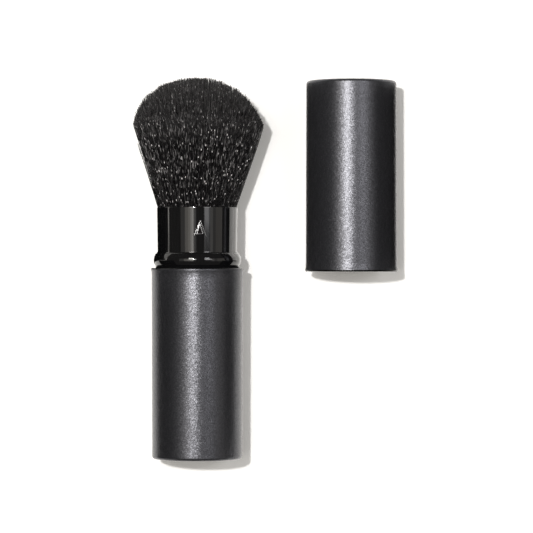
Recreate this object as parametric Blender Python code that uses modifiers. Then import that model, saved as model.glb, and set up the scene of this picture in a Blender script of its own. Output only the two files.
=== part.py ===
"""Retractable makeup brush with its cap pulled off, lying on a table.

The brush axis runs along +Y with the bristles at +Y. A drawn metal handle cup
holds a fixed brush core: a post, a ferrule and a flared tuft. A gloss guard
tube slides out of the handle's neck ring and gathers the tuft, and the cap
then closes over the tube. The cap lies beside the brush at +X, closed end at
+Y. Metres, +Z up; the origin is on the table, under the middle of both.
"""
from math import atan2, cos, pi, radians, sin, sqrt
from random import Random

import bmesh
import bpy
from mathutils import Matrix, Vector

# Clearances
FIT_GAP = 0.00015
RUN_GAP = 0.00015
SEAT_GAP = 0.0003
MERGE_DISTANCE = 0.000001
OVERRUN = 0.0002

# Drawn outer shells, one form for the handle and the cap
BODY_RADIUS = 0.0140
LIP_FLARE = 0.00025
LIP_LENGTH = 0.0030
LIP_EDGE = 0.00012
END_TAPER = 0.00015
END_FILLET = 0.0009
SHELL_WALL = 0.0005

# Tuft, measured from the guard tube's rim
TUFT_HEIGHT = 0.0392
TUFT_WIDEST_HEIGHT = 0.0246
TUFT_RADIUS = 0.0198
TUFT_FLOOR_GAP = 0.0002
STRAND_RINGS = 8
STRAND_INSET_SHARE = 0.15
STRAND_MIDDLE_SHARE = 0.52
STRAND_MIDDLE_SIZE_SHARE = 1.3
STRAND_SHORTER_SHARE = 0.06
STRAND_STRAY = 0.0002
STRAND_SEED = 11

# Guard tube
TUBE_SHOWN = 0.0186
TUBE_WALL = 0.0006
TUBE_FLARE = 0.00019
TUBE_MOUTH_EDGE = 0.0003
TUBE_MOUTH_DEPTH = 0.0025
TUBE_TIP_SHOW = 0.0002

# Arrow raised on the guard tube
ARROW_WIDTH = 0.0031
ARROW_LENGTH = 0.0049
ARROW_NOTCH = 0.0009
ARROW_START = 0.0095
ARROW_RISE = 0.00015
ARROW_ROOT = 0.00025
ARROW_TURN = radians(6)

# Stop collar on the guard tube's lower end
COLLAR_HEIGHT = 0.0022
COLLAR_STEP = 0.0002
COLLAR_FIT = 0.0001

# Neck ring in the handle's mouth
NECK_SHOWN = 0.00507
NECK_BEAD_CENTRE = 0.00245
NECK_BEAD_GAP = 0.0001
NECK_BEAD_CUT_SHARE = 0.82
NECK_EDGE = 0.0001
NECK_FLANGE_TOP = 0.0009
NECK_FLANGE_HEIGHT = 0.0015
NECK_SPIGOT_WALL = 0.00039
NECK_SPIGOT_HEIGHT = 0.0021

# O-ring in the neck ring's bore
O_RING_SECTION_RADIUS = 0.0004
O_RING_TUBE_GAP = 0.00005
O_RING_GROOVE_GAP = 0.0001

# Liner of the handle and sleeve of the cap
LINER_WALL = 0.0005
LINER_FLOOR = 0.0012
LEDGE_HEIGHT = 0.0063
LEDGE_REACH = 0.0002
GUIDE_RIBS = 3
GUIDE_RIB_WIDTH = 0.0015
GUIDE_RIB_DEPTH = 0.00035
SLEEVE_END_SPACE = 0.0009
CAP_HEADROOM = 0.0004

# Ferrule and bristle slice
FERRULE_WALL = 0.00035
FERRULE_LENGTH = 0.0133
FERRULE_BELOW_RIM = 0.0030
CRIMP_COUNT = 2
CRIMP_DEPTH = 0.00012
CRIMP_HALF_WIDTH = 0.0006
CRIMP_SPACING = 0.0022
CRIMP_START = 0.0018
SLICE_HEIGHT = 0.0017

# Brush post
POST_HEAD_HEIGHT = 0.0050
POST_SHOULDER = 0.0015
POST_UNDER_CONE = 0.0030
POST_CORE_RADIUS = 0.0030
POST_WEB_REACH = 0.0070
POST_WEB_THICKNESS = 0.0014
POST_FOOT_RADIUS = 0.0085
POST_FOOT_HEIGHT = 0.0015

# Screw that holds the post to the liner's floor
SCREW_RADIUS = 0.00125
SCREW_LENGTH = 0.0095
SCREW_TIP = 0.0008
SCREW_HEAD_RADIUS = 0.0032
SCREW_HEAD_HEIGHT = 0.0020
SCREW_BORE_SPARE = 0.0010

# Steel weight in the handle's end
WEIGHT_HEIGHT = 0.0036
WEIGHT_CHAMFER = 0.0009
WEIGHT_HOLE_GAP = 0.0012

# Lay-out on the table
TUFT_TO_CAP = 0.01325
CAP_MOUTH_OFFSET = 0.00110

# Faceting
OUTER_STEPS = 48
INNER_STEPS = 32
SCREW_STEPS = 16
FILLET_STEPS = 4
FLARE_STEPS = 3
BEAD_STEPS = 8
O_RING_STEPS = 6

# Radii, from the shell inwards
LIP_RADIUS = BODY_RADIUS + LIP_FLARE
END_RADIUS = BODY_RADIUS - END_TAPER
SHELL_BORE = BODY_RADIUS - SHELL_WALL
NECK_BEAD_RADIUS = SHELL_BORE - NECK_BEAD_GAP
LINER_BORE = SHELL_BORE - FIT_GAP - LINER_WALL
NECK_SPIGOT_RADIUS = LINER_BORE - FIT_GAP
NECK_BORE = NECK_SPIGOT_RADIUS - NECK_SPIGOT_WALL
TUBE_RADIUS = NECK_BORE - RUN_GAP
TUBE_BORE = TUBE_RADIUS - TUBE_WALL
TUBE_RIM_RADIUS = TUBE_RADIUS + TUBE_FLARE
FERRULE_RADIUS = TUBE_BORE - 2 * RUN_GAP
FERRULE_BORE = FERRULE_RADIUS - FERRULE_WALL
SLICE_RADIUS = FERRULE_BORE - SEAT_GAP
STRAND_INSET = STRAND_INSET_SHARE * SLICE_RADIUS / STRAND_RINGS
COLLAR_RADIUS = LINER_BORE - RUN_GAP
COLLAR_SEAT_RADIUS = TUBE_RADIUS - COLLAR_STEP
GUIDE_RIB_RADIUS = LINER_BORE - GUIDE_RIB_DEPTH

# Heights along the brush axis, from the handle's mouth
STROKE = TUFT_HEIGHT - TUBE_TIP_SHOW
FLANGE_BOTTOM = -NECK_FLANGE_TOP - NECK_FLANGE_HEIGHT
SPIGOT_BOTTOM = FLANGE_BOTTOM - NECK_SPIGOT_HEIGHT
COLLAR_TOP = SPIGOT_BOTTOM - SEAT_GAP - STROKE
TUBE_BOTTOM = COLLAR_TOP - COLLAR_HEIGHT
LEDGE_TOP = TUBE_BOTTOM - SEAT_GAP
LINER_FLOOR_TOP = LEDGE_TOP - LEDGE_HEIGHT
LINER_BOTTOM = LINER_FLOOR_TOP - LINER_FLOOR
WEIGHT_TOP = LINER_BOTTOM - SEAT_GAP
WEIGHT_BOTTOM = WEIGHT_TOP - WEIGHT_HEIGHT
HANDLE_LENGTH = -WEIGHT_BOTTOM + SEAT_GAP + SHELL_WALL
CAP_LENGTH = TUBE_SHOWN + STROKE + CAP_HEADROOM + SHELL_WALL
FERRULE_TOP = TUBE_SHOWN - FERRULE_BELOW_RIM
FERRULE_BOTTOM = FERRULE_TOP - FERRULE_LENGTH
POST_SHOULDER_TOP = FERRULE_BOTTOM - SEAT_GAP
POST_TOP = POST_SHOULDER_TOP + POST_HEAD_HEIGHT
SLICE_TOP = POST_TOP + SEAT_GAP + SLICE_HEIGHT
POST_BOTTOM = LINER_FLOOR_TOP + SEAT_GAP

# Places on the table
AXIS_HEIGHT = LIP_RADIUS
CAP_SPACING = TUFT_RADIUS + TUFT_TO_CAP + LIP_RADIUS
BRUSH_X = (TUFT_RADIUS - CAP_SPACING - LIP_RADIUS) / 2
CAP_X = BRUSH_X + CAP_SPACING
FAR_END = max(TUBE_SHOWN + TUFT_HEIGHT, CAP_LENGTH - CAP_MOUTH_OFFSET)
MOUTH_Y = (HANDLE_LENGTH - FAR_END) / 2
LAID_DOWN = (-pi / 2, 0, 0)
TURNED_OVER = (pi, 0, 0)


def clear_scene():
    for old in list(bpy.data.objects):
        bpy.data.objects.remove(old, do_unlink=True)


def new_collection(name):
    group = bpy.data.collections.new(name)
    bpy.context.scene.collection.children.link(group)
    return group


def finish(name, colour, roughness, metallic):
    """A plain surface: base colour, roughness and metallic value."""
    made = bpy.data.materials.new(name)
    made.use_nodes = True
    surface = made.node_tree.nodes["Principled BSDF"]
    surface.inputs["Base Color"].default_value = (*colour, 1)
    surface.inputs["Roughness"].default_value = roughness
    surface.inputs["Metallic"].default_value = metallic
    return made


def axis_empty(name, location):
    """An empty on a joint's axis. Its +Z runs along the brush, so pieces are modelled upright."""
    made = bpy.data.objects.new(name, None)
    made.location = location
    made.rotation_euler = LAID_DOWN
    PARTS.objects.link(made)
    return made


def place(obj, parent, surface):
    """Links a piece to the brush's collection, on its axis and with its surface."""
    for group in list(obj.users_collection):
        group.objects.unlink(obj)
    PARTS.objects.link(obj)
    obj.parent = parent
    obj.data.materials.append(surface)
    return obj


def arc(centre, radius, start, end, steps):
    """Points of a profile's round corner, from one angle to another."""
    turns = [radians(start + (end - start) * step / steps) for step in range(steps + 1)]
    return [(centre[0] + radius * cos(turn), centre[1] + radius * sin(turn)) for turn in turns]


def turned(name, outline, parent, surface, steps):
    """A turned piece. Its outline runs down the outer side and closes unless it ends on the axis."""
    mesh = bpy.data.meshes.new(name)
    count = len(outline)
    edges = [(index, index + 1) for index in range(count - 1)]
    if outline[0][0] > 0:
        edges.append((count - 1, 0))
    mesh.from_pydata([(radius, 0, height) for radius, height in outline], edges, [])
    obj = bpy.data.objects.new(name, mesh)
    screw = obj.modifiers.new("Turn", "SCREW")
    screw.steps = steps
    screw.render_steps = steps
    screw.use_merge_vertices = True
    screw.merge_threshold = MERGE_DISTANCE
    screw.use_smooth_shade = True
    return place(obj, parent, surface)


def box(name, size, centre, turn, parent):
    """A box for a Boolean, from the unit cube, turned about its parent's axis."""
    bpy.ops.mesh.primitive_cube_add(size=1)
    obj = bpy.context.object
    obj.name = name
    obj.data.transform(Matrix.Translation(centre) @ Matrix.Diagonal((*size, 1)))
    obj.data.transform(Matrix.Rotation(turn, 4, "Z"))
    return guide(obj, parent)


def guide(obj, parent):
    """Puts a Boolean's other shape with the cutters."""
    for group in list(obj.users_collection):
        group.objects.unlink(obj)
    CUTTERS.objects.link(obj)
    obj.hide_render = True
    obj.display_type = "WIRE"
    obj.parent = parent
    return obj


def combine(obj, other, operation):
    change = obj.modifiers.new(other.name, "BOOLEAN")
    change.operation = operation
    change.solver = "EXACT"
    change.object = other


def shell_radius(depth, length):
    """Outer radius of a shell at a depth from its mouth: a soft flare, then a slight taper."""
    if depth < LIP_LENGTH:
        return BODY_RADIUS + (LIP_RADIUS - BODY_RADIUS) * (1 - depth / LIP_LENGTH) ** 2
    along = (depth - LIP_LENGTH) / (length - LIP_LENGTH)
    return BODY_RADIUS + (END_RADIUS - BODY_RADIUS) * along


def cup_outline(length):
    """A drawn cup with its mouth at zero and its closed end on top."""
    flare = [LIP_EDGE + (LIP_LENGTH - LIP_EDGE) * step / FLARE_STEPS for step in range(FLARE_STEPS, -1, -1)]
    outside = [(0, length)]
    outside += arc((END_RADIUS - END_FILLET, length - END_FILLET), END_FILLET, 90, 0, FILLET_STEPS)
    outside += [(shell_radius(depth, length), depth) for depth in flare]
    outside.append((shell_radius(0, length) - LIP_EDGE, 0))
    inner_fillet = END_FILLET - SHELL_WALL
    inside = [(shell_radius(0, length) - SHELL_WALL, 0)]
    inside.append((shell_radius(LIP_LENGTH / 2, length) - SHELL_WALL, LIP_LENGTH / 2))
    inside.append((BODY_RADIUS - SHELL_WALL, LIP_LENGTH))
    inside.append((END_RADIUS - SHELL_WALL, length - END_FILLET))
    inside.append((END_RADIUS - END_FILLET, length - SHELL_WALL))
    if inner_fillet <= 0:
        inside[-2:] = [(END_RADIUS - SHELL_WALL, length - SHELL_WALL)]
    inside.append((0, length - SHELL_WALL))
    return outside + inside


def handle_shell(parent, surface):
    shell = turned("handle_shell", cup_outline(HANDLE_LENGTH), parent, surface, OUTER_STEPS)
    shell.rotation_euler = TURNED_OVER


def cap_shell(parent, surface):
    turned("cap_shell", cup_outline(CAP_LENGTH), parent, surface, OUTER_STEPS)


def cap_sleeve(parent, surface):
    """The cap's inner sleeve. It starts above the neck ring's bead and clears the guard tube."""
    start = NECK_SHOWN + SEAT_GAP
    end = CAP_LENGTH - SHELL_WALL - SLEEVE_END_SPACE
    inset = SHELL_WALL + FIT_GAP
    turned("cap_sleeve", [
        (shell_radius(end, CAP_LENGTH) - inset, end),
        (shell_radius(start, CAP_LENGTH) - inset, start),
        (LINER_BORE + LINER_WALL / 2, start),
        (LINER_BORE, start + LINER_WALL),
        (LINER_BORE, end),
    ], parent, surface, INNER_STEPS)


def handle_liner(parent, surface):
    """A moulded cup in the handle: ledge for the tube at rest, floor for the post, guide ribs."""
    inset = SHELL_WALL + FIT_GAP
    top = FLANGE_BOTTOM - SEAT_GAP
    ledge_bore = TUBE_BORE - LEDGE_REACH
    liner = turned("handle_liner", [
        (LINER_BORE, top),
        (shell_radius(-top, HANDLE_LENGTH) - inset, top),
        (shell_radius(-LINER_BOTTOM, HANDLE_LENGTH) - inset, LINER_BOTTOM),
        (SCREW_RADIUS + SEAT_GAP, LINER_BOTTOM),
        (SCREW_RADIUS + SEAT_GAP, LINER_FLOOR_TOP),
        (ledge_bore, LINER_FLOOR_TOP),
        (ledge_bore, LEDGE_TOP),
        (LINER_BORE, LEDGE_TOP),
    ], parent, surface, INNER_STEPS)
    rib_top = SPIGOT_BOTTOM - SEAT_GAP
    rib_bottom = LEDGE_TOP - OVERRUN
    for index in range(GUIDE_RIBS):
        rib = box(
            f"guide_rib_{index + 1}",
            (GUIDE_RIB_DEPTH + OVERRUN, GUIDE_RIB_WIDTH, rib_top - rib_bottom),
            (GUIDE_RIB_RADIUS + (GUIDE_RIB_DEPTH + OVERRUN) / 2, 0, (rib_top + rib_bottom) / 2),
            2 * pi * index / GUIDE_RIBS,
            parent,
        )
        combine(liner, rib, "UNION")


def base_weight(parent, surface):
    outer = END_RADIUS - END_FILLET
    hole = SCREW_HEAD_RADIUS + WEIGHT_HOLE_GAP
    turned("base_weight", [
        (hole, WEIGHT_TOP),
        (outer, WEIGHT_TOP),
        (outer, WEIGHT_BOTTOM + WEIGHT_CHAMFER),
        (outer - WEIGHT_CHAMFER, WEIGHT_BOTTOM),
        (hole, WEIGHT_BOTTOM),
    ], parent, surface, INNER_STEPS)


def neck_ring(parent, surface):
    """The bead that shows above the mouth, its seat flange, its spigot and the O-ring's groove."""
    base = NECK_BORE + NECK_EDGE
    bead = []
    for step in range(BEAD_STEPS + 1):
        share = 1 - (1 + NECK_BEAD_CUT_SHARE) * step / BEAD_STEPS
        height = NECK_BEAD_CENTRE + (NECK_SHOWN - NECK_BEAD_CENTRE) * share
        bead.append((base + (NECK_BEAD_RADIUS - base) * cos(pi / 2 * share), height))
    foot_radius = bead[-1][0]
    flange_radius = SHELL_BORE - FIT_GAP
    groove_half = O_RING_SECTION_RADIUS + O_RING_GROOVE_GAP
    groove_radius = TUBE_RADIUS + O_RING_TUBE_GAP + 2 * O_RING_SECTION_RADIUS + O_RING_GROOVE_GAP
    turned("neck_ring", bead + [
        (foot_radius, -NECK_FLANGE_TOP),
        (flange_radius, -NECK_FLANGE_TOP),
        (flange_radius, FLANGE_BOTTOM),
        (NECK_SPIGOT_RADIUS, FLANGE_BOTTOM),
        (NECK_SPIGOT_RADIUS, SPIGOT_BOTTOM),
        (NECK_BORE, SPIGOT_BOTTOM),
        (NECK_BORE, NECK_BEAD_CENTRE - groove_half),
        (groove_radius, NECK_BEAD_CENTRE - groove_half),
        (groove_radius, NECK_BEAD_CENTRE + groove_half),
        (NECK_BORE, NECK_BEAD_CENTRE + groove_half),
        (NECK_BORE, NECK_SHOWN),
    ], parent, surface, OUTER_STEPS)


def neck_o_ring(parent, surface):
    """Rubs on the guard tube, so the tube stays where it is pushed."""
    bpy.ops.mesh.primitive_torus_add(
        major_segments=OUTER_STEPS,
        minor_segments=O_RING_STEPS,
        major_radius=TUBE_RADIUS + O_RING_TUBE_GAP + O_RING_SECTION_RADIUS,
        minor_radius=O_RING_SECTION_RADIUS,
    )
    ring = bpy.context.object
    ring.name = "neck_o_ring"
    ring.data.shade_smooth()
    ring.location = (0, 0, NECK_BEAD_CENTRE)
    place(ring, parent, surface)


def brush_post(parent, surface):
    """Carries the ferrule on its head. Two crossed webs stiffen its stem."""
    head_radius = FERRULE_BORE - FIT_GAP
    shoulder_bottom = POST_SHOULDER_TOP - POST_SHOULDER
    bore_radius = SCREW_RADIUS + FIT_GAP
    bore_top = LINER_BOTTOM + SCREW_LENGTH + SCREW_BORE_SPARE
    foot_top = POST_BOTTOM + POST_FOOT_HEIGHT
    post = turned("brush_post", [
        (0, POST_TOP),
        (head_radius, POST_TOP),
        (head_radius, POST_SHOULDER_TOP),
        (FERRULE_RADIUS, POST_SHOULDER_TOP),
        (FERRULE_RADIUS, shoulder_bottom),
        (POST_CORE_RADIUS, shoulder_bottom - POST_UNDER_CONE),
        (POST_CORE_RADIUS, foot_top),
        (POST_FOOT_RADIUS, foot_top),
        (POST_FOOT_RADIUS, POST_BOTTOM),
        (bore_radius, POST_BOTTOM),
        (bore_radius, bore_top),
        (0, bore_top),
    ], parent, surface, INNER_STEPS)
    web_bottom = foot_top - OVERRUN
    web_top = shoulder_bottom + OVERRUN
    web_length = web_top - web_bottom
    reach = POST_WEB_REACH - POST_CORE_RADIUS + OVERRUN
    for index in range(4):
        web = box(
            f"post_web_{index + 1}",
            (reach, POST_WEB_THICKNESS, web_length),
            (POST_WEB_REACH - reach / 2, 0, (web_top + web_bottom) / 2),
            2 * pi * index / 4,
            parent,
        )
        combine(post, web, "UNION")


def post_screw(parent, surface):
    head_top = LINER_BOTTOM - SEAT_GAP
    head_bottom = head_top - SCREW_HEAD_HEIGHT
    tip = LINER_BOTTOM + SCREW_LENGTH
    rounding = SCREW_HEAD_HEIGHT / 2
    turned("post_screw", [
        (0, tip),
        (SCREW_RADIUS - SCREW_TIP / 2, tip),
        (SCREW_RADIUS, tip - SCREW_TIP),
        (SCREW_RADIUS, head_top),
        (SCREW_HEAD_RADIUS, head_top),
        (SCREW_HEAD_RADIUS, head_top - rounding),
        (SCREW_HEAD_RADIUS - rounding, head_bottom),
        (0, head_bottom),
    ], parent, surface, SCREW_STEPS)


def ferrule(parent, surface):
    """A thin metal tube on the post's head, crimped round it and round the bristles' slice."""
    crimps = []
    for index in range(CRIMP_COUNT):
        middle = FERRULE_BOTTOM + CRIMP_START + CRIMP_SPACING * index
        crimps += [(middle - CRIMP_HALF_WIDTH, 0), (middle, CRIMP_DEPTH), (middle + CRIMP_HALF_WIDTH, 0)]
    outside = [(FERRULE_RADIUS - depth, height) for height, depth in reversed(crimps)]
    turned("ferrule", [(FERRULE_RADIUS, FERRULE_TOP)] + outside + [
        (FERRULE_RADIUS, FERRULE_BOTTOM),
        (FERRULE_BORE, FERRULE_BOTTOM),
        (FERRULE_BORE, FERRULE_TOP),
    ], parent, surface, INNER_STEPS)


def guard_tube(parent, surface):
    """The sliding tube: a rounded, slightly flared rim, and a seat for the collar at its foot."""
    collar_seat = COLLAR_TOP + COLLAR_FIT
    mouth_bore = TUBE_RIM_RADIUS - TUBE_MOUTH_EDGE
    edge = TUBE_MOUTH_EDGE / 2
    rim = arc((TUBE_RIM_RADIUS - edge, TUBE_SHOWN - edge), edge, 180, 0, FILLET_STEPS)
    tube = turned("guard_tube", rim + [
        (TUBE_RADIUS, NECK_SHOWN),
        (TUBE_RADIUS, collar_seat),
        (COLLAR_SEAT_RADIUS, collar_seat),
        (COLLAR_SEAT_RADIUS, TUBE_BOTTOM),
        (TUBE_BORE, TUBE_BOTTOM),
        (TUBE_BORE, TUBE_SHOWN - TUBE_MOUTH_DEPTH),
        (mouth_bore, TUBE_SHOWN - TUBE_MOUTH_EDGE),
    ], parent, surface, OUTER_STEPS)
    combine(tube, arrow(parent), "UNION")


def arrow(parent):
    """An arrowhead that points to the bristles, on the side that faces up."""
    curve = bpy.data.curves.new("arrow_outline", "CURVE")
    curve.dimensions = "2D"
    curve.fill_mode = "BOTH"
    curve.extrude = (ARROW_RISE + ARROW_ROOT) / 2
    outline = [
        (-ARROW_WIDTH / 2, 0),
        (0, ARROW_NOTCH),
        (ARROW_WIDTH / 2, 0),
        (0, ARROW_LENGTH),
    ]
    spline = curve.splines.new("POLY")
    spline.points.add(len(outline) - 1)
    for point, (across, along) in zip(spline.points, outline):
        point.co = (across, along, 0, 1)
    spline.use_cyclic_u = True
    flat = bpy.data.objects.new("arrow_outline", curve)
    CUTTERS.objects.link(flat)
    bpy.context.view_layer.update()
    evaluated = flat.evaluated_get(bpy.context.evaluated_depsgraph_get())
    mesh = bpy.data.meshes.new_from_object(evaluated)
    bpy.data.objects.remove(flat, do_unlink=True)
    shape = bmesh.new()
    shape.from_mesh(mesh)
    bmesh.ops.remove_doubles(shape, verts=shape.verts, dist=MERGE_DISTANCE)
    middle = TUBE_RADIUS + (ARROW_RISE - ARROW_ROOT) / 2
    lift = Matrix.Rotation(ARROW_TURN, 4, "Z") @ Matrix.Translation((0, -middle, ARROW_START))
    shape.transform(lift @ Matrix.Rotation(pi / 2, 4, "X"))
    shape.to_mesh(mesh)
    shape.free()
    return guide(bpy.data.objects.new("arrow", mesh), parent)


def stop_collar(parent, surface):
    """Pushed on the tube's foot. It meets the neck ring's spigot at full stroke and rides the ribs."""
    bore = COLLAR_SEAT_RADIUS + COLLAR_FIT
    collar = turned("stop_collar", [
        (bore, COLLAR_TOP),
        (COLLAR_RADIUS, COLLAR_TOP),
        (COLLAR_RADIUS, TUBE_BOTTOM),
        (bore, TUBE_BOTTOM),
    ], parent, surface, INNER_STEPS)
    notch_radius = GUIDE_RIB_RADIUS - RUN_GAP
    notch_depth = COLLAR_RADIUS - notch_radius + OVERRUN
    for index in range(GUIDE_RIBS):
        notch = box(
            f"collar_notch_{index + 1}",
            (notch_depth, GUIDE_RIB_WIDTH + 2 * RUN_GAP, COLLAR_HEIGHT + 2 * OVERRUN),
            (notch_radius + notch_depth / 2, 0, COLLAR_TOP - COLLAR_HEIGHT / 2),
            2 * pi * index / GUIDE_RIBS,
            parent,
        )
        combine(collar, notch, "DIFFERENCE")


def to_disc(flat):
    """Takes a point of the unit hexagon to the unit disc, with rings of even width."""
    sixth = pi / 3
    turn = atan2(flat.y, flat.x)
    within = turn % sixth
    ring = flat.length * cos(within - sixth / 2) / cos(sixth / 2)
    along = sin(within) / (sin(within) + sin(sixth - within))
    even = turn - within + sixth * along
    return Vector((ring * cos(even), ring * sin(even), 0))


def dome_height(share):
    """Height above the rim at which a strand of this share of the radius meets the tuft's dome."""
    rim = tuft_radius(0)
    slope = share * (TUFT_RADIUS - rim) / TUFT_WIDEST_HEIGHT
    dome = TUFT_HEIGHT - TUFT_WIDEST_HEIGHT
    squares = (slope / TUFT_RADIUS) ** 2 + 1 / dome ** 2
    twice = 2 * (share * rim * slope / TUFT_RADIUS ** 2 - TUFT_WIDEST_HEIGHT / dome ** 2)
    rest = (share * rim / TUFT_RADIUS) ** 2 + (TUFT_WIDEST_HEIGHT / dome) ** 2 - 1
    return (sqrt(twice ** 2 - 4 * squares * rest) - twice) / (2 * squares)


def tuft_radius(height):
    """Radius of the outermost strands at a height above the rim: a plain cone."""
    rim = TUBE_BORE - SEAT_GAP / 2
    return rim + (TUFT_RADIUS - rim) * height / TUFT_WIDEST_HEIGHT


def strand_point(share, turn, height):
    """A point of a strand. Those below the axis lie along the table where the cone would reach it."""
    radius = tuft_radius(height)
    below = min(radius, AXIS_HEIGHT - TUFT_FLOOR_GAP - 2 * STRAND_INSET)
    across = share * radius * cos(turn)
    down = share * sin(turn) * (below if sin(turn) > 0 else radius)
    return Vector((across, down, TUBE_SHOWN + height))


def grow(shape, face, middle, size):
    """Adds one length to a strand: its end face is extruded, moved to a place and scaled."""
    end = bmesh.ops.extrude_discrete_faces(shape, faces=[face])["faces"][0]
    centre = end.calc_center_median()
    for vertex in end.verts:
        vertex.co = middle + (vertex.co - centre) * size
    return end


def bristles(parent, surface):
    """Strands of three sides on a glued slice, one from each cell of the slice's top."""
    shape = bmesh.new()
    corner_at_x = Matrix.Rotation(pi / 6, 4, "Z")
    bmesh.ops.create_circle(shape, cap_ends=True, cap_tris=True, radius=1, segments=6, matrix=corner_at_x)
    bmesh.ops.subdivide_edges(shape, edges=shape.edges[:], cuts=STRAND_RINGS - 1, use_grid_fill=True)
    for vertex in shape.verts:
        vertex.co = to_disc(vertex.co) * SLICE_RADIUS + Vector((0, 0, SLICE_TOP))
    bmesh.ops.recalc_face_normals(shape, faces=shape.faces)
    if shape.faces[:][0].normal.z < 0:
        bmesh.ops.reverse_faces(shape, faces=shape.faces)
    cells = shape.faces[:]
    rim = [edge for edge in shape.edges if edge.is_boundary]
    side = bmesh.ops.extrude_edge_only(shape, edges=rim)["geom"]
    for vertex in (item for item in side if isinstance(item, bmesh.types.BMVert)):
        vertex.co.z -= SLICE_HEIGHT
    bottom = [edge for edge in shape.edges if edge.is_boundary]
    bmesh.ops.holes_fill(shape, edges=bottom, sides=0)
    bmesh.ops.inset_individual(shape, faces=cells, thickness=STRAND_INSET, use_even_offset=True)
    outermost = max(Vector(cell.calc_center_median()[:2]).length for cell in cells)
    luck = Random(STRAND_SEED)
    for cell in cells:
        root = cell.calc_center_median()
        share = Vector(root[:2]).length / outermost
        turn = atan2(root.y, root.x)
        tip_height = dome_height(share) * (1 - STRAND_SHORTER_SHARE * luck.random() * (1 - share))
        stray = Vector((luck.uniform(-1, 1), luck.uniform(-1, 0), 0)) * STRAND_STRAY
        mouth = Vector((root.x, root.y, FERRULE_TOP))
        end = grow(shape, cell, mouth, 1)
        bend = strand_point(share, turn, tip_height * STRAND_MIDDLE_SHARE)
        end = grow(shape, end, bend, STRAND_MIDDLE_SIZE_SHARE)
        point = bmesh.ops.poke(shape, faces=[end])["verts"][0]
        point.co = strand_point(share, turn, tip_height) + stray
    bmesh.ops.recalc_face_normals(shape, faces=shape.faces)
    mesh = bpy.data.meshes.new("bristles")
    shape.to_mesh(mesh)
    shape.free()
    place(bpy.data.objects.new("bristles", mesh), parent, surface)


clear_scene()
PARTS = new_collection("retractable_makeup_brush")
CUTTERS = new_collection("cutters")

satin = finish("satin charcoal", (0.030, 0.030, 0.034), 0.38, 0.75)
gloss = finish("gloss black", (0.006, 0.006, 0.007), 0.08, 0.0)
moulded = finish("moulded black", (0.020, 0.020, 0.021), 0.55, 0.0)
steel = finish("steel", (0.52, 0.53, 0.55), 0.35, 1.0)
crimped = finish("aluminium", (0.70, 0.70, 0.72), 0.30, 1.0)
rubber = finish("rubber", (0.015, 0.015, 0.015), 0.75, 0.0)
fibre = finish("black fibre", (0.018, 0.016, 0.020), 0.50, 0.0)

brush_axis = axis_empty("brush_axis", (BRUSH_X, MOUTH_Y, AXIS_HEIGHT))
guard_axis = axis_empty("guard_axis", (BRUSH_X, MOUTH_Y, AXIS_HEIGHT))
cap_axis = axis_empty("cap_axis", (CAP_X, MOUTH_Y - CAP_MOUTH_OFFSET, AXIS_HEIGHT))

handle_shell(brush_axis, satin)
base_weight(brush_axis, steel)
handle_liner(brush_axis, moulded)
neck_ring(brush_axis, gloss)
neck_o_ring(brush_axis, rubber)
brush_post(brush_axis, moulded)
post_screw(brush_axis, steel)
ferrule(brush_axis, crimped)
bristles(brush_axis, fibre)
guard_tube(guard_axis, gloss)
stop_collar(guard_axis, moulded)
cap_shell(cap_axis, satin)
cap_sleeve(cap_axis, moulded)
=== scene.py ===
"""Looks of the retractable makeup brush: smooth shells, finishes, the tuft's hair, light and camera.

The brush axis runs along +Y and the cap lies beside it at +X. Metres, +Z up,
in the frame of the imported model. Turned pieces are drawn as profiles of
(radius, distance along the axis) and spun about their own axis.
"""

from math import cos, pi, radians, sin, tan

import bmesh
import bpy
import numpy as np
from mathutils import Matrix, Vector


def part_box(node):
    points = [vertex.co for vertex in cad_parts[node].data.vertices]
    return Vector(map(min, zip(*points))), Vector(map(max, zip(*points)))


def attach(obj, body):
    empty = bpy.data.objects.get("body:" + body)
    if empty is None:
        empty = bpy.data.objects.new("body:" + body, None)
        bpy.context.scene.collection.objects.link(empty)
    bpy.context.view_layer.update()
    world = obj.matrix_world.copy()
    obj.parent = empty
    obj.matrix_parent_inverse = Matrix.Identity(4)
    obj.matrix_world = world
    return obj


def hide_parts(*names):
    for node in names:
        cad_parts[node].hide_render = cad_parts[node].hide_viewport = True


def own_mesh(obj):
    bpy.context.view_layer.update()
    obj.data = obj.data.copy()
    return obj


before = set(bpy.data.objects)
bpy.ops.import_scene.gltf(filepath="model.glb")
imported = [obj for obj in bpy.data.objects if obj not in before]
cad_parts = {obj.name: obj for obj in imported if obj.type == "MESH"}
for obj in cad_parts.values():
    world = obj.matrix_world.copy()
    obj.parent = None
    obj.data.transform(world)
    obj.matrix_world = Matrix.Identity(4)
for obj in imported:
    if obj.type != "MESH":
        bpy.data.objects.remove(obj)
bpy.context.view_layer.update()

# Unit for the finest reliefs
MICRON = 0.000001

# Shells, one form for the handle and the cap
SHELL_WALL = 0.0005
LIP_FLARE = 0.00025
LIP_LENGTH = 0.0030
LIP_EDGE = 0.0009
# Widths from the mouths over which the satin's colour is painted nearly black: painted shade along the lip
CAP_PAINTED_SHADE_WIDTH = 0.00045
HANDLE_PAINTED_SHADE_WIDTH = 0.00022
END_TAPER = 0.00015
END_FILLET = 0.0009

# Liner of the handle and sleeve of the cap
LINER_WALL = 0.0005
FIT_GAP = 0.00015
RUN_GAP = 0.00015

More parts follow.
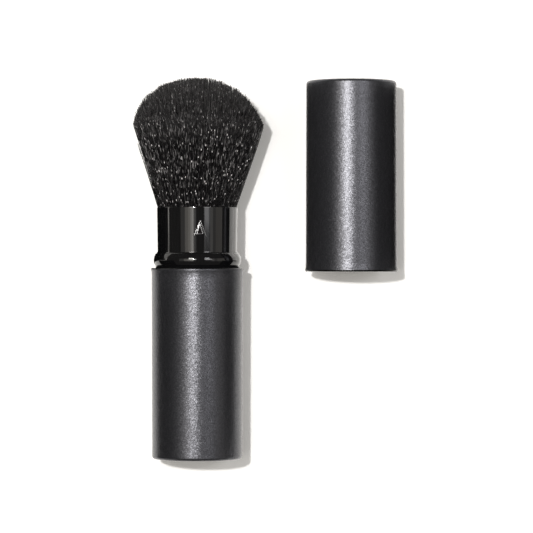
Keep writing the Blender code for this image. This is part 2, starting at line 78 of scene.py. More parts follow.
# Guard tube and its arrow mark, whose points are (across, along) on the tube's wall
TUBE_WALL = 0.0006
TUBE_FLARE = 0.00019
TUBE_RIM_EDGE = 0.00015
TUBE_MOUTH_EDGE = 0.0003
TUBE_MOUTH_DEPTH = 0.0025
COLLAR_STEP = 0.0002
COLLAR_SEAT_HEIGHT = 0.0021
MARK_TURN = radians(5.0)
MARK_START = 0.0095
MARK_HALF_WIDTH = 0.0023
MARK_LENGTH = 0.0062
MARK_CELL = 0.00005
MARK_SLOPE = tan(radians(52))
MARK_CREST = 0.18
MARK_UNDER = 0.00005
MARK_BASE = 0.0003
CHEVRON = ((-0.00165, 0.0005), (0.00015, 0.0048), (0.00195, 0.0001))
CHEVRON_HALF_WIDTH = 0.00010
CHEVRON_STEP = 0.00008
TRIANGLE = ((-0.00088, 0.0008), (-0.00004, 0.0039), (0.00092, 0.0009))
TRIANGLE_HALF_WIDTH = 0.00015
TRIANGLE_STEP = 0.00014

# Neck ring: the bead and what carries it
NECK_SHOWN = 0.00507
BEAD_CENTRE = 0.00245
BEAD_CUT_SHARE = 0.82
BEAD_TOP_STEP = 0.0001
NECK_FLANGE_TOP = 0.0009
NECK_FLANGE_HEIGHT = 0.0015
GROOVE_HALF_HEIGHT = 0.0005
GROOVE_DEPTH = 0.0008
FILLET_WIDTH = 0.0003
FILLET_HEIGHT = 0.0005
FILLET_STEPS = 6
NECK_PAINTED_SHADE_HEIGHT = 0.00042

# Tuft, measured from the guard tube's rim
TUFT_HEIGHT = 0.0400
TOP_DROP = 0.0003
TUFT_WIDEST_HEIGHT = 0.0248
TUFT_RADIUS = 0.0200
TUFT_RIM_RADIUS = 0.0118
TUFT_SHIFT = 0.00005
TUFT_LEAN = 0.00038
TUFT_FLOOR_GAP = 0.0003
ROOT_DEPTH = 0.0034
ROOT_RADIUS = 0.0104
DOME_STEPS = 200

# Hair. Its layers are shares of the tuft's radius, and its waves are counted along a hair.
HAIR_COUNT = 12000
HAIR_SEED = 23
HAIR_RADIUS = 0.000116
HAIR_RADIUS_SHARES = (0.75, 1.25)
HAIR_TAPER_SHARES = (1, 0.95, 0.5)
HAIR_TAPER_PLACES = (0, 0.9, 1)
HAIR_STOPS = 15
HAIR_LAST_BEND = 0.965
INNER_AREA_SHARE = 0.98
OUTER_HAIR_SHARE = 0.45
OUTER_LAYER = (0.92, 0.995)
ENDED_HAIR_SHARE = 0.30
ENDED_LENGTH_SHARES = (0.35, 0.97)
TIP_UNEVEN = 0.00050
TIP_UNEVEN_SHARES = (-0.1, 1)
TIP_CLUMPS = 0.00016
PROUD_SHARE = 0.12
PROUD_LENGTH = 0.0006
HAIR_CLUMPS = 0.004
CLUMP_WAVES = 26
CLUMP_FINENESS = (12, 60)
WAVE_SIZE_SHARES = (0.2, 1.0)
UPRIGHT_WAVE_SHARE = 0.8
SWAY = 0.00006
SWAY_WAVES = (0.6, 1.7)
SWAY_GROWTH = 1.3
CRIMP = 0.00002
CRIMP_WAVES = (4.0, 6.5)
CRIMP_GROWTH = 5
STRAY_COUNT = 12
STRAY_REACH = 0.05
STRAY_LENGTH_SHARES = (0.3, 0.9)
STRAY_SPREAD = 0.7
SECTORS = 16
HAIR_NUMBERS = 5000

# Painted shade at the root, painted sheen on top and where painted glint highlights fade, as heights above
# the guard tube's rim
ROOT_SHADE_TOP = 0.012
TOP_PAINTED_SHEEN = (0.018, 0.036)
GLINT_FADE = (0.022, 0.037)

# Camera, straight above the table
CAMERA_X = 0.000365
CAMERA_Y = 0.000811
CAMERA_HEIGHT = 0.860
LENS_MM = 189.1
SENSOR_MM = 36.0

# Light: a small key near the camera, and softboxes in strips from horizon to horizon.
# Angles are degrees from straight up, left below zero; the key also leans to the tuft's side.
# A streak is (aside, ahead, radiance). A strip is (start, end, radiance, low, high, colour), with
# its low and high ends in metres along Y. The boxes ahead are strips too, and show in reflections only.
# A lamp's power is its radiance by its area by LAMP_POWER.
LAMP_POWER = pi
KEY_TURNS = (-9.3, 7.2)
KEY_SIZE = 2.0
KEY_DISTANCE = 1.5
KEY_RADIANCE = 2080
KEY_COLOUR = (1.0, 0.985, 0.96)
STREAK_SIZE = (20, 4.0)
STREAKS = (
    (-12.5, 8.4, 16),
    (30.0, 8.4, 9),
)
STRIP_DISTANCE = 1.2
STRIPS = (
    (-89.6, -87.8, 5.0, -0.004, 0.40, (1.0, 0.97, 0.91)),
    (-89.6, -87.8, 1.5, -0.28, -0.004, (1.0, 0.97, 0.91)),
    (-48, -35, 0.45, -0.28, 0.30, (1.0, 0.98, 0.94)),
    (-35, -26, 1.5, -0.28, 0.30, (1.0, 0.95, 0.87)),
    (-26, -19, 2.2, -0.28, 0.30, (1.0, 0.95, 0.87)),
    (-19, -14, 3.4, -0.28, 0.30, (1.0, 0.97, 0.91)),
    (-14, -10.5, 4.4, -0.28, 0.30, (1.0, 0.97, 0.91)),
    (-10.5, -4, 0.7, -0.28, 0.30, (1.0, 0.98, 0.94)),
    (20.5, 34, 3.3, -0.004, 0.40, (0.98, 0.97, 0.98)),
    (34, 38, 1.0, -0.004, 0.40, (0.97, 0.97, 1.0)),
    (20.5, 38, 0.28, -0.28, -0.004, (0.97, 0.97, 1.0)),
    (38, 46, 0.9, -0.28, 0.35, (1.0, 0.97, 0.93)),
    (46, 55, 0.35, -0.28, 0.35, (1.0, 0.97, 0.93)),
    (55, 82, 0.62, -0.28, 0.35, (1.0, 0.94, 0.86)),
)
AHEAD_BOXES = (
    (-22, -11, 27, 0.31, 0.46, (1.0, 0.97, 0.91)),
    (20.5, 33, 15, 0.41, 0.53, (0.97, 0.97, 1.0)),
)
ROOM_LEVEL = 0.11
ROOM_COLOUR = (1.0, 0.95, 0.88)

# Table, with its glow for the camera and the stronger one that reflections see
FLOOR_HALF_SIZE = 3.0
FLOOR_ALBEDO = (0.95, 0.95, 0.95)
FLOOR_GLOW = 0.15
FLOOR_REFLECTED = 0.50

# Cards beside the handle, the tube and the cap, seen in reflections only
CARD_BLACK = 0.002
CARD_GREY = 0.24
CARD_BRIGHT = 0.8
CARD_BRIGHT_GLOW = 1.5
CARD_HEIGHT = 0.045
HANDLE_CARD_LEFT_X = -0.066
HANDLE_CARD_PAST_END = 0.015
HANDLE_CARD_RIGHT_X = 0.043
HANDLE_CARD_MOUTH_GAP = 0.004
TUBE_CARD_LEFT_X = -0.500
TUBE_CARD_LEFT_LENGTH = 0.040
TUBE_CARD_LEFT_HEIGHT = 0.0004
TUBE_CARD_RIGHT_X = 0.0115
TUBE_CARD_RIGHT_FAR_Y = 0.040
TUBE_CARD_RIGHT_MOUTH_GAP = 0.0012
TUBE_CARD_RIGHT_HEIGHT = 0.0141
CAP_CARD_LEFT_X = 0.0074
CAP_CARD_RIGHT_X = 0.0495
CAP_CARD_RIGHT_HEIGHT = 0.037

# Fineness of the turned pieces
TURN_STEPS = 192
ROUND_STEPS = 10
BEAD_STEPS = 28
FLARE_STEPS = 8
SHARP_ANGLE = radians(38)
SUPPORT = 0.00012
MERGE_DISTANCE = 0.5 * MICRON

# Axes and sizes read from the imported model
HANDLE_LOW, HANDLE_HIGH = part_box("handle_shell")
CAP_LOW, CAP_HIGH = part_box("cap_shell")
TUBE_LOW, TUBE_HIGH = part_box("guard_tube")
NECK_LOW, NECK_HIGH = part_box("neck_ring")
AXIS_HEIGHT = (HANDLE_LOW.z + HANDLE_HIGH.z) / 2
BRUSH_X = (HANDLE_LOW.x + HANDLE_HIGH.x) / 2
CAP_X = (CAP_LOW.x + CAP_HIGH.x) / 2
LIP_RADIUS = (HANDLE_HIGH.x - HANDLE_LOW.x) / 2
BODY_RADIUS = LIP_RADIUS - LIP_FLARE
END_RADIUS = BODY_RADIUS - END_TAPER
SHELL_BORE = BODY_RADIUS - SHELL_WALL
LINER_BORE = SHELL_BORE - FIT_GAP - LINER_WALL
MOUTH_Y = HANDLE_HIGH.y
TUBE_RIM_RADIUS = (TUBE_HIGH.x - TUBE_LOW.x) / 2
TUBE_RADIUS = TUBE_RIM_RADIUS - TUBE_FLARE
TUBE_BORE = TUBE_RADIUS - TUBE_WALL
RIM_Y = TUBE_HIGH.y
BEAD_RADIUS = (NECK_HIGH.x - NECK_LOW.x) / 2


def blank_material(name, colour, roughness, metallic=0.0):
    """A Principled surface, its node tree and its position coordinates in metres."""
    made = bpy.data.materials.new(name)
    made.use_nodes = True
    tree = made.node_tree
    surface = tree.nodes["Principled BSDF"]
    surface.inputs["Base Color"].default_value = (*colour, 1)
    surface.inputs["Roughness"].default_value = roughness
    surface.inputs["Metallic"].default_value = metallic
    place = tree.nodes.new("ShaderNodeTexCoord").outputs["Object"]
    return made, tree, surface, place


def along_brush(tree, place):
    """The coordinate along the brush."""
    parts = tree.nodes.new("ShaderNodeSeparateXYZ")
    tree.links.new(place, parts.inputs["Vector"])
    return parts.outputs["Y"]


def link_finish(tree, surface, colour, roughness, normal):
    """Links a finish's patterns to its surface."""
    tree.links.new(colour, surface.inputs["Base Color"])
    tree.links.new(roughness, surface.inputs["Roughness"])
    tree.links.new(normal, surface.inputs["Normal"])


def stretched(tree, place, scale):
    """Coordinates scaled unevenly, for marks that run along one direction."""
    mapping = tree.nodes.new("ShaderNodeMapping")
    mapping.inputs["Scale"].default_value = scale
    tree.links.new(place, mapping.inputs["Vector"])
    return mapping.outputs["Vector"]


def noise(tree, place, scale, detail=2.0, roughness=0.5):
    """A noise pattern's value; scale is in repeats a metre."""
    made = tree.nodes.new("ShaderNodeTexNoise")
    made.inputs["Scale"].default_value = scale
    made.inputs["Detail"].default_value = detail
    made.inputs["Roughness"].default_value = roughness
    tree.links.new(place, made.inputs["Vector"])
    return made.outputs["Fac"]


def flakes(tree, place, scale):
    """A random value from 0 to 1 for each small cell of the surface."""
    made = tree.nodes.new("ShaderNodeTexVoronoi")
    made.inputs["Scale"].default_value = scale
    tree.links.new(place, made.inputs["Vector"])
    parts = tree.nodes.new("ShaderNodeSeparateColor")
    tree.links.new(made.outputs["Color"], parts.inputs["Color"])
    return parts.outputs["Red"]


def spread(tree, value, low, high, start=0.3, end=0.7):
    """Maps a pattern's value from start..end to low..high."""
    made = tree.nodes.new("ShaderNodeMapRange")
    made.inputs["From Min"].default_value = start
    made.inputs["From Max"].default_value = end
    made.inputs["To Min"].default_value = low
    made.inputs["To Max"].default_value = high
    tree.links.new(value, made.inputs["Value"])
    return made.outputs["Result"]


def shades(tree, value, dark, light, start=0.3, end=0.7):
    """Two shades of a colour, mixed by a pattern's value."""
    made = tree.nodes.new("ShaderNodeValToRGB")
    made.color_ramp.elements[0].position = start
    made.color_ramp.elements[0].color = (*dark, 1)
    made.color_ramp.elements[1].position = end
    made.color_ramp.elements[1].color = (*light, 1)
    tree.links.new(value, made.inputs["Fac"])
    return made.outputs["Color"]


def combined(tree, kind, first, second):
    """Two values through a Math node of this kind."""
    made = tree.nodes.new("ShaderNodeMath")
    made.operation = kind
    tree.links.new(first, made.inputs[0])
    tree.links.new(second, made.inputs[1])
    return made.outputs["Value"]


def bump(tree, value, height, under=None):
    """Relief of a pattern, height in metres, on top of an earlier relief."""
    made = tree.nodes.new("ShaderNodeBump")
    made.inputs["Strength"].default_value = 1.0
    made.inputs["Distance"].default_value = height
    tree.links.new(value, made.inputs["Height"])
    if under is not None:
        tree.links.new(under, made.inputs["Normal"])
    return made.outputs["Normal"]


def flake_normal(tree, place, scale, tilt, under):
    """A surface normal that leans at random in each small cell, as metal flakes do."""
    cells = tree.nodes.new("ShaderNodeTexVoronoi")
    cells.inputs["Scale"].default_value = scale
    tree.links.new(place, cells.inputs["Vector"])
    lean = tree.nodes.new("ShaderNodeVectorMath")
    lean.operation = "MULTIPLY_ADD"
    lean.inputs[1].default_value = (2 * tilt, 2 * tilt, 2 * tilt)
    lean.inputs[2].default_value = (-tilt, -tilt, -tilt)
    tree.links.new(cells.outputs["Color"], lean.inputs[0])
    leaning = tree.nodes.new("ShaderNodeVectorMath")
    leaning.operation = "ADD"
    tree.links.new(under, leaning.inputs[0])
    tree.links.new(lean.outputs["Vector"], leaning.inputs[1])
    level = tree.nodes.new("ShaderNodeVectorMath")
    level.operation = "NORMALIZE"
    tree.links.new(leaning.outputs["Vector"], level.inputs[0])
    return level.outputs["Vector"]


def satin_material(name, edge, width):
    """Charcoal satin on drawn metal, full of small flakes that sparkle in the light.

    edge is the mouth's place along Y, from which the colour is painted nearly black over the width: painted
    shade along the lip. The width is below zero for a shell that lies towards -Y.
    """
    made, tree, surface, place = blank_material(name, (0.064, 0.0645, 0.0722), 0.34, 0.78)
    flake = flakes(tree, place, 3600)
    grain = noise(tree, place, 5000, 2.0, 0.6)
    cloud = noise(tree, place, 120, 3.0)
    colour = shades(tree, flake, (0.052, 0.0525, 0.0590), (0.071, 0.0715, 0.0800), 0, 1)
    # Colour painted nearly black near the mouth: painted shade along the lip
    unshaded_share = spread(tree, along_brush(tree, place), 0.03, 1.0, edge + width, edge + 1.4 * width)
    painted_shade = tree.nodes.new("ShaderNodeVectorMath")
    painted_shade.operation = "SCALE"
    tree.links.new(colour, painted_shade.inputs["Vector"])
    tree.links.new(unshaded_share, painted_shade.inputs["Scale"])
    roughness = spread(tree, cloud, 0.330, 0.350)
    normal = flake_normal(tree, place, 5000, 0.068, bump(tree, grain, 2 * MICRON))
    link_finish(tree, surface, painted_shade.outputs["Vector"], roughness, normal)
    return made


def gloss_material(name):
    """Gloss black moulded plastic, with a faint waviness and hairline rubs along the stroke."""
    made, tree, surface, place = blank_material(name, (0.004, 0.004, 0.0045), 0.07)
    wave = noise(tree, place, 160, 1.0)
    rubs = noise(tree, stretched(tree, place, (1, 0.03, 1)), 2600, 2.0)
    colour = shades(tree, rubs, (0.003, 0.003, 0.0033), (0.005, 0.005, 0.0055))
    roughness = spread(tree, rubs, 0.05, 0.10, 0.35, 0.75)
    normal = bump(tree, rubs, 0.4 * MICRON, bump(tree, wave, 10 * MICRON))
    link_finish(tree, surface, colour, roughness, normal)
    return made


def neck_material():
    """The tube's gloss black, its reflection faded out where the neck goes down into the handle: painted
    shade in the gap.
    """
    made = gloss_material("gloss_black_neck")
    tree = made.node_tree
    height = along_brush(tree, tree.nodes.new("ShaderNodeTexCoord").outputs["Object"])
    # Reflection fades to nothing near the handle's mouth: painted shade in the gap between bead and handle
    shine_with_painted_shade = spread(tree, height, 0.0, 0.5, MOUTH_Y + NECK_PAINTED_SHADE_HEIGHT, MOUTH_Y + 2 * NECK_PAINTED_SHADE_HEIGHT)
    tree.links.new(shine_with_painted_shade, tree.nodes["Principled BSDF"].inputs["Specular IOR Level"])
    return made


def mark_material():
    """The arrow's plastic: as black as the tube, less smooth, and it catches the light more."""
    made, tree, surface, place = blank_material("gloss_black_mark", (0.006, 0.006, 0.007), 0.22)
    surface.inputs["IOR"].default_value = 1.8
    surface.inputs["Specular IOR Level"].default_value = 1.0
    grain = noise(tree, place, 3000, 2.0)
    colour = shades(tree, grain, (0.005, 0.005, 0.006), (0.008, 0.008, 0.009))
    link_finish(tree, surface, colour, spread(tree, grain, 0.19, 0.25), bump(tree, grain, 6 * MICRON))
    return made


def moulded_material():
    """Black plastic as it comes from the mould."""
    made, tree, surface, place = blank_material("moulded_black", (0.020, 0.020, 0.021), 0.50)
    cloud = noise(tree, place, 300, 2.0)
    grain = noise(tree, place, 4500, 2.0)
    colour = shades(tree, cloud, (0.017, 0.017, 0.018), (0.023, 0.023, 0.024))
    link_finish(tree, surface, colour, spread(tree, grain, 0.44, 0.58), bump(tree, grain, 8 * MICRON))
    return made


def metal_material(name, dark, light, roughness, turned_scale):
    """Bare metal with fine turning marks round the axis."""
    made, tree, surface, place = blank_material(name, light, roughness, 1.0)
    marks = noise(tree, stretched(tree, place, (0.03, 1, 0.03)), turned_scale, 2.0)
    colour = shades(tree, marks, dark, light)
    uneven = spread(tree, marks, roughness - 0.05, roughness + 0.07)
    link_finish(tree, surface, colour, uneven, bump(tree, marks, 3 * MICRON))
    return made


def rubber_material():
    """Matt black rubber."""
    made, tree, surface, place = blank_material("seal_rubber", (0.015, 0.015, 0.015), 0.75)
    grain = noise(tree, place, 3800, 2.0)
    colour = shades(tree, grain, (0.012, 0.012, 0.012), (0.019, 0.019, 0.019))
    link_finish(tree, surface, colour, spread(tree, grain, 0.68, 0.82), bump(tree, grain, 10 * MICRON))
    return made


def along_hair(tree, place, scale):
    """Coordinates that run along each hair by themselves: (distance along, the hair's own number)."""
    hair = tree.nodes.new("ShaderNodeNewGeometry").outputs["Random Per Island"]
    made = tree.nodes.new("ShaderNodeCombineXYZ")
    number = spread(tree, hair, 0, HAIR_NUMBERS, 0, 1)
    along = combined(tree, "ADD", spread(tree, along_brush(tree, place), 0, scale, 0, 1), number)
    tree.links.new(along, made.inputs["X"])
    tree.links.new(number, made.inputs["Y"])
    return made.outputs["Vector"]


def painted_glints(tree, place, scale, share):
    """1 in a few short lengths of the hairs, where glint highlights are painted, and 0 elsewhere."""
    step = tree.nodes.new("ShaderNodeVectorMath")
    step.operation = "FLOOR"
    tree.links.new(along_hair(tree, place, scale), step.inputs[0])
    luck = tree.nodes.new("ShaderNodeTexWhiteNoise")
    luck.noise_dimensions = "2D"
    tree.links.new(step.outputs["Vector"], luck.inputs["Vector"])
    return spread(tree, luck.outputs["Value"], 0.0, 1.0, 1 - share, 1 - share / 2)


def fibre_material():
    """Fine black synthetic hair. Its crimps catch the light, and short pale lengths are painted glint
    highlights.
    """
    made, tree, surface, place = blank_material("black_fibre", (0.020, 0.018, 0.020), 0.28)
    strand = noise(tree, along_hair(tree, place, 450), 1, 1.0)
    crimp = noise(tree, along_hair(tree, place, 1000), 1, 1.0)
    height = along_brush(tree, place)
    sheen_low, sheen_high = [RIM_Y + above for above in TOP_PAINTED_SHEEN]
    fade_low, fade_high = [RIM_Y + above for above in GLINT_FADE]
    # Darker towards the rim: painted shade where the hairs go into the tube
    low = spread(tree, height, 0.25, 1.0, RIM_Y, RIM_Y + ROOT_SHADE_TOP)
    # Lighter towards the top of the dome: painted sheen
    top = spread(tree, height, 0.0, 0.042, sheen_low, sheen_high)
    soft = spread(tree, height, 1.0, 0.35, fade_low, fade_high)
    light = combined(tree, "MULTIPLY", spread(tree, strand, 0, 0.48, 0.57, 0.83), low)
    light = combined(tree, "MULTIPLY", light, soft)
    light = combined(tree, "ADD", light, top)
    # Short lengths painted near white: painted glint highlights, fading towards the top
    bright = combined(tree, "MULTIPLY", painted_glints(tree, place, 2200, 0.017), soft)
    light = combined(tree, "MAXIMUM", light, bright)
    surface.inputs["Specular IOR Level"].default_value = 0.12
    # The near white end is the colour of the painted glint highlights
    colour = shades(tree, light, (0.0048, 0.0045, 0.0050), (1.0, 0.97, 0.98), 0, 1)
    link_finish(tree, surface, colour, spread(tree, crimp, 0.24, 0.34), bump(tree, crimp, 400 * MICRON))
    return made


def floor_material():
    """Plain white card, brighter for the camera and in reflections than the lamps alone make it."""
    made, tree, surface, _ = blank_material("floor_white", FLOOR_ALBEDO, 0.9)
    surface.inputs["Specular IOR Level"].default_value = 0.0
    path = tree.nodes.new("ShaderNodeLightPath").outputs
    seen = combined(tree, "MAXIMUM", path["Is Camera Ray"], path["Is Transmission Ray"])
    surface.inputs["Emission Color"].default_value = (1.0, 0.97, 0.90, 1)
    direct = spread(tree, seen, 0.0, FLOOR_GLOW, 0.0, 1.0)
    reflected = spread(tree, path["Is Glossy Ray"], 0.0, FLOOR_REFLECTED, 0.0, 1.0)
    tree.links.new(combined(tree, "MAXIMUM", direct, reflected), surface.inputs["Emission Strength"])
    return made


def card_material(name, grey, glow=0.0):
    """Matt card, grey or glowing on its face. Its back lets everything through."""
    made, tree, surface, _ = blank_material(name, (grey, grey, grey), 1.0)
    surface.inputs["Emission Color"].default_value = (1.0, 0.97, 0.93, 1)
    surface.inputs["Emission Strength"].default_value = glow
    surface.inputs["Specular IOR Level"].default_value = 0.0
    side = tree.nodes.new("ShaderNodeNewGeometry").outputs["Backfacing"]
    tree.links.new(spread(tree, side, 1.0, 0.0, 0.0, 1.0), surface.inputs["Alpha"])
    return made


def arc(centre, radius, start, end, steps=ROUND_STEPS):
    """Points of a profile's round corner, from one angle in degrees to another."""
    turns = [radians(start + (end - start) * step / steps) for step in range(steps + 1)]
    return [(centre[0] + radius * cos(turn), centre[1] + radius * sin(turn)) for turn in turns]


def supported(outline, closed):
    """A profile with extra points near the ends of its long sides, so that they shade flat."""
    points = []
    for start, end in zip(outline, outline[1:] + (outline[:1] if closed else [])):
        points.append(start)
        side = Vector(end) - Vector(start)
        if side.length > 6 * SUPPORT:
            step = side.normalized() * SUPPORT
            points += [tuple(Vector(start) + step), tuple(Vector(end) - step)]
    return points if closed else points + [outline[-1]]


def added(name, mesh, surface):
    """A new object of the scene with one material."""
    obj = bpy.data.objects.new(name, mesh)
    mesh.materials.append(surface)
    bpy.context.scene.collection.objects.link(obj)
    return obj


def turned(name, outline, axis_x, start_y, direction, surface):
    """Spins a profile of (radius, distance) about an axis along Y. direction is 1 or -1."""
    on_axis = outline[0][0] == 0
    shape = bmesh.new()
    points = [
        shape.verts.new((axis_x + radius, start_y + direction * along, AXIS_HEIGHT))
        for radius, along in supported(outline, not on_axis)
    ]
    edges = [shape.edges.new(pair) for pair in zip(points, points[1:])]
    if not on_axis:
        edges.append(shape.edges.new((points[-1], points[0])))
    bmesh.ops.spin(
        shape,
        geom=points + edges,
        cent=(axis_x, 0, AXIS_HEIGHT),
        axis=(0, 1, 0),
        angle=2 * pi,
        steps=TURN_STEPS,
        use_merge=True,
    )
    bmesh.ops.remove_doubles(shape, verts=shape.verts, dist=MERGE_DISTANCE)
    bmesh.ops.recalc_face_normals(shape, faces=shape.faces)
    mesh = bpy.data.meshes.new(name)
    shape.to_mesh(mesh)
    shape.free()
    mesh.shade_smooth()
    mesh.set_sharp_from_angle(angle=SHARP_ANGLE)
    return added(name, mesh, surface)


def shell_radius(depth, length):
    """Outer radius of a shell at a depth from its mouth: a soft flare, then a slight taper."""
    if depth < LIP_LENGTH:
        return BODY_RADIUS + LIP_FLARE * (1 - depth / LIP_LENGTH) ** 2
    return BODY_RADIUS - END_TAPER * (depth - LIP_LENGTH) / (length - LIP_LENGTH)


def cup_outline(length):
    """A drawn cup with its mouth at zero and its closed end last."""
    lip = [LIP_LENGTH * (1 - step / FLARE_STEPS) for step in range(FLARE_STEPS)]
    outside = [(0, length)]
    outside += arc((END_RADIUS - END_FILLET, length - END_FILLET), END_FILLET, 90, 0)
    outside += [(shell_radius(depth, length), depth) for depth in lip if depth > LIP_EDGE]
    edge = LIP_EDGE / 2
    outside += arc((shell_radius(0, length) - edge, edge), edge, 0, -90, ROUND_STEPS // 2)
    inside = [(shell_radius(0, length) - SHELL_WALL, 0)]
    inside += [(shell_radius(depth, length) - SHELL_WALL, depth) for depth in reversed(lip)]
    fillet = END_FILLET - SHELL_WALL
    inside += arc((END_RADIUS - END_FILLET, length - END_FILLET), fillet, 0, 90)
    inside.append((0, length - SHELL_WALL))
    return outside + inside


def handle_shell(surface):
    """The handle's shell, from its mouth at the neck to its closed end."""
    length = HANDLE_HIGH.y - HANDLE_LOW.y
    shell = turned("handle_shell_smooth", cup_outline(length), BRUSH_X, MOUTH_Y, -1, surface)
    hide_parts("handle_shell")
    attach(shell, "handle")


def cap_shell(surface):
    """The cap's shell, whose closed end is on the tuft's side."""
    length = CAP_HIGH.y - CAP_LOW.y
    shell = turned("cap_shell_smooth", cup_outline(length), CAP_X, CAP_LOW.y, 1, surface)
    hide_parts("cap_shell")
    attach(shell, "cap")


def cap_sleeve(surface):
    """The cap's inner sleeve, with its chamfered mouth."""
    low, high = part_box("cap_sleeve")
    outer = (high.x - low.x) / 2
    length = high.y - low.y
    sleeve = turned("cap_sleeve_smooth", [
        (outer - END_TAPER, length),
        (outer, 0),
        (LINER_BORE + LINER_WALL / 2, 0),
        (LINER_BORE, LINER_WALL),
        (LINER_BORE, length),
    ], CAP_X, low.y, 1, surface)
    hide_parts("cap_sleeve")
    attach(sleeve, "cap")


def neck_ring(surface):
    """The gloss bead above the handle's mouth, its flange and spigot below."""
    bore = TUBE_RADIUS + RUN_GAP
    base = bore + BEAD_TOP_STEP
    bead = []
    for step in range(BEAD_STEPS + 1):
        share = 1 - (1 + BEAD_CUT_SHARE) * step / BEAD_STEPS
        along = BEAD_CENTRE + (NECK_SHOWN - BEAD_CENTRE) * share
        bead.append((base + (BEAD_RADIUS - base) * cos(pi / 2 * share), along))
    flange_radius = SHELL_BORE - FIT_GAP
    spigot_radius = LINER_BORE - FIT_GAP
    flange_bottom = -NECK_FLANGE_TOP - NECK_FLANGE_HEIGHT
    bottom = NECK_LOW.y - MOUTH_Y
    cut = [point for point in bead if point[0] > base + FILLET_WIDTH]
    fillet = []
    for step in range(FILLET_STEPS):
        turn = pi / 2 * step / FILLET_STEPS
        along = cut[0][1] + FILLET_HEIGHT * (1 - sin(turn))
        fillet.append((base + FILLET_WIDTH * (1 - cos(turn)), along))
    ring = turned("neck_ring_smooth", fillet + cut + [
        (bead[-1][0], -NECK_FLANGE_TOP),
        (flange_radius, -NECK_FLANGE_TOP),
        (flange_radius, flange_bottom),
        (spigot_radius, flange_bottom),
        (spigot_radius, bottom),
        (bore, bottom),
        (bore, BEAD_CENTRE - GROOVE_HALF_HEIGHT),
        (bore + GROOVE_DEPTH, BEAD_CENTRE - GROOVE_HALF_HEIGHT),
        (bore + GROOVE_DEPTH, BEAD_CENTRE + GROOVE_HALF_HEIGHT),
        (bore, BEAD_CENTRE + GROOVE_HALF_HEIGHT),
        (bore, fillet[0][1]),
    ], BRUSH_X, MOUTH_Y, 1, surface)
    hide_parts("neck_ring")
    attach(ring, "handle")


def guard_tube(surface):
    """The sliding tube, its rim rounded and slightly flared."""
    length = TUBE_HIGH.y - TUBE_LOW.y
    shown = RIM_Y - MOUTH_Y
    foot = shown - length
    mouth_bore = TUBE_RIM_RADIUS - TUBE_MOUTH_EDGE
    rim = arc((TUBE_RIM_RADIUS - TUBE_RIM_EDGE, shown - TUBE_RIM_EDGE), TUBE_RIM_EDGE, 180, 0)
    seat = foot + COLLAR_SEAT_HEIGHT
    tube = turned("guard_tube_smooth", rim + [
        (TUBE_RADIUS, NECK_SHOWN),
        (TUBE_RADIUS, seat),
        (TUBE_RADIUS - COLLAR_STEP, seat),
        (TUBE_RADIUS - COLLAR_STEP, foot),
        (TUBE_BORE, foot),
        (TUBE_BORE, shown - TUBE_MOUTH_DEPTH),
        (mouth_bore, shown - TUBE_MOUTH_EDGE),
    ], BRUSH_X, MOUTH_Y, 1, surface)
    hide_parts("guard_tube")
    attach(tube, "guard")


def line_distance(across, along, start, end):
    """Distances of points from a straight line between two points, all in the mark's flat sizes."""
    reach = (end[0] - start[0], end[1] - start[1])
    from_start = (across - start[0], along - start[1])
    projected = from_start[0] * reach[0] + from_start[1] * reach[1]
    share = (projected / (reach[0] ** 2 + reach[1] ** 2)).clip(0, 1)
    return np.hypot(from_start[0] - share * reach[0], from_start[1] - share * reach[1])


def ridge_height(distance, half_width, step):
    """Relief of a ridge: a softly crowned crest with sloping sides, sunk under the wall beyond them."""
    crest = step + MARK_CREST * half_width * (1 - (distance / half_width) ** 2)
    side = step - (distance - half_width) * MARK_SLOPE
    return np.where(distance < half_width, crest, side).clip(-MARK_UNDER)


def on_tube(across, along, height):
    """World points on the tube's upper side, height above its wall; across and along are flat sizes."""
    radius = TUBE_RADIUS + TUBE_FLARE * (along - NECK_SHOWN) / (RIM_Y - MOUTH_Y - NECK_SHOWN) + height
    turn = MARK_TURN + across / radius
    x = BRUSH_X + radius * np.sin(turn)
    z = AXIS_HEIGHT + radius * np.cos(turn)
    return np.stack([x, MOUTH_Y + along, z], axis=-1)


def arrow_mark(surface):
    """A chevron round a triangle, raised on the tube and pointing to the hair."""
    columns = round(2 * MARK_HALF_WIDTH / MARK_CELL) + 1
    rows = round(MARK_LENGTH / MARK_CELL) + 1
    across = np.linspace(-MARK_HALF_WIDTH, MARK_HALF_WIDTH, columns)
    across, along = np.meshgrid(across, np.arange(rows) * MARK_CELL)
    chevron = [line_distance(across, along, *pair) for pair in zip(CHEVRON, CHEVRON[1:])]
    triangle = [line_distance(across, along, *pair) for pair in zip(TRIANGLE, TRIANGLE[1:] + TRIANGLE[:1])]
    relief = np.maximum(
        ridge_height(np.minimum.reduce(chevron), CHEVRON_HALF_WIDTH, CHEVRON_STEP),
        ridge_height(np.minimum.reduce(triangle), TRIANGLE_HALF_WIDTH, TRIANGLE_STEP),
    )
    top = on_tube(across, MARK_START + along, relief).reshape(-1, 3)
    base = on_tube(across, MARK_START + along, np.full_like(relief, -MARK_BASE)).reshape(-1, 3)
    number = np.arange(rows * columns).reshape(rows, columns)
    corners = [number[:-1, :-1], number[:-1, 1:], number[1:, 1:], number[1:, :-1]]
    cells = np.stack(corners, axis=-1).reshape(-1, 4)
    edge = np.concatenate([number[0], number[1:, -1], number[-1, -2::-1], number[-2:0:-1, 0]])
    after = np.roll(edge, -1)
    wall = np.stack([edge, edge + number.size, after + number.size, after], axis=-1)
    faces = np.concatenate([cells, cells[:, ::-1] + number.size, wall])
    mesh = bpy.data.meshes.new("arrow_mark")
    mesh.from_pydata(np.concatenate([top, base]).tolist(), [], faces.tolist())
    mesh.shade_smooth()
    mesh.set_sharp_from_angle(angle=SHARP_ANGLE)
    mark = added("arrow_mark", mesh, surface)
    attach(mark, "guard")


